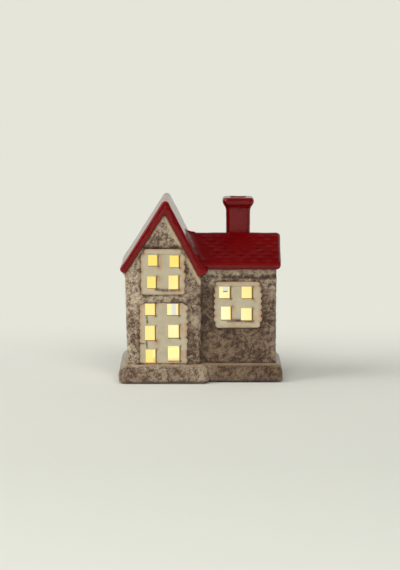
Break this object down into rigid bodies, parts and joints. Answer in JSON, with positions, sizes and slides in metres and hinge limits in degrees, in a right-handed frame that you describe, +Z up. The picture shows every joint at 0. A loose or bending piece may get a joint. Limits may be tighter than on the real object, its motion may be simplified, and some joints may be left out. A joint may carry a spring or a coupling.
{
  "type": "light-up house ornament",
  "caption": "Small glazed ceramic house ornament with a gabled tower, a lower wing, a chimney and pierced windows lit by a battery lamp module in its base.",
  "frame": {"origin": "middle of the footprint on the surface that the house stands on", "axes": "+Z up, the front with its lit windows faces -Y, the tower is on the -X side and the wing with the chimney on the +X side"},
  "size_m": [0.0988, 0.0622, 0.1102],
  "materials": {
    "stone_glaze": "mottled grey-brown glaze with an iron wash, satin gloss",
    "red_glaze": "dark red glaze, high gloss",
    "cream_glaze": "cream glaze with brown edges, satin gloss",
    "felt": "pressed felt",
    "foam": "closed-cell foam tape",
    "case_plastic": "moulded, fine satin",
    "nickel": "nickel plated steel",
    "battery_wrap": "plain printed film over steel",
    "switch_plastic": "black moulded",
    "circuit_board": "solder mask",
    "lamp_lens": "clear epoxy over a warm white chip",
    "frosted_cap": "frosted, lit from inside",
    "resistor_body": "coated ceramic",
    "red_wire": "insulated wire",
    "black_wire": "insulated wire"
  },
  "bodies": {
    "house": {"plinth": "stone_glaze", "tower_walls": "stone_glaze", "wing_walls": "stone_glaze", "tower_roof": "red_glaze", "wing_roof": "red_glaze", "chimney": "red_glaze", "tower_lower_window": "cream_glaze", "tower_upper_window": "cream_glaze", "wing_window": "cream_glaze", "tower_back_window": "cream_glaze", "wing_back_window": "cream_glaze", "foot_pad_1": "felt", "foot_pad_2": "felt", "foot_pad_3": "felt", "foot_pad_4": "felt", "box_gasket": "foam", "battery_box": "case_plastic", "battery_front": "battery_wrap", "battery_back": "battery_wrap", "contact_spring_front": "nickel", "contact_spring_back": "nickel", "bridge_plate": "nickel", "negative_plate": "nickel", "positive_plate": "nickel", "switch_body": "nickel", "lamp_board": "circuit_board", "lamp_spacer": "case_plastic", "lamp": "lamp_lens", "lamp_diffuser": "frosted_cap", "lamp_resistor": "resistor_body", "lead_red": "red_wire", "lead_black": "black_wire"},
    "battery_cover": {"battery_cover": "case_plastic"},
    "cover_screw": {"cover_screw": "nickel"},
    "switch_slider": {"switch_slider": "switch_plastic"}
  },
  "joints": [
    {"name": "switch_slide", "type": "slide", "parent": "house", "child": "switch_slider", "axis": [0, -1, 0], "range_m": [0, 0.003]},
    {"name": "battery_cover_lift", "type": "slide", "parent": "house", "child": "battery_cover", "axis": [0, 0, -1], "range_m": [0, 0.02]},
    {"name": "cover_screw_turn", "type": "hinge", "parent": "battery_cover", "child": "cover_screw", "pos_m": [0.0279, 0.0076, 0.005], "axis": [0, 0, 1], "continuous": true}
  ]
}
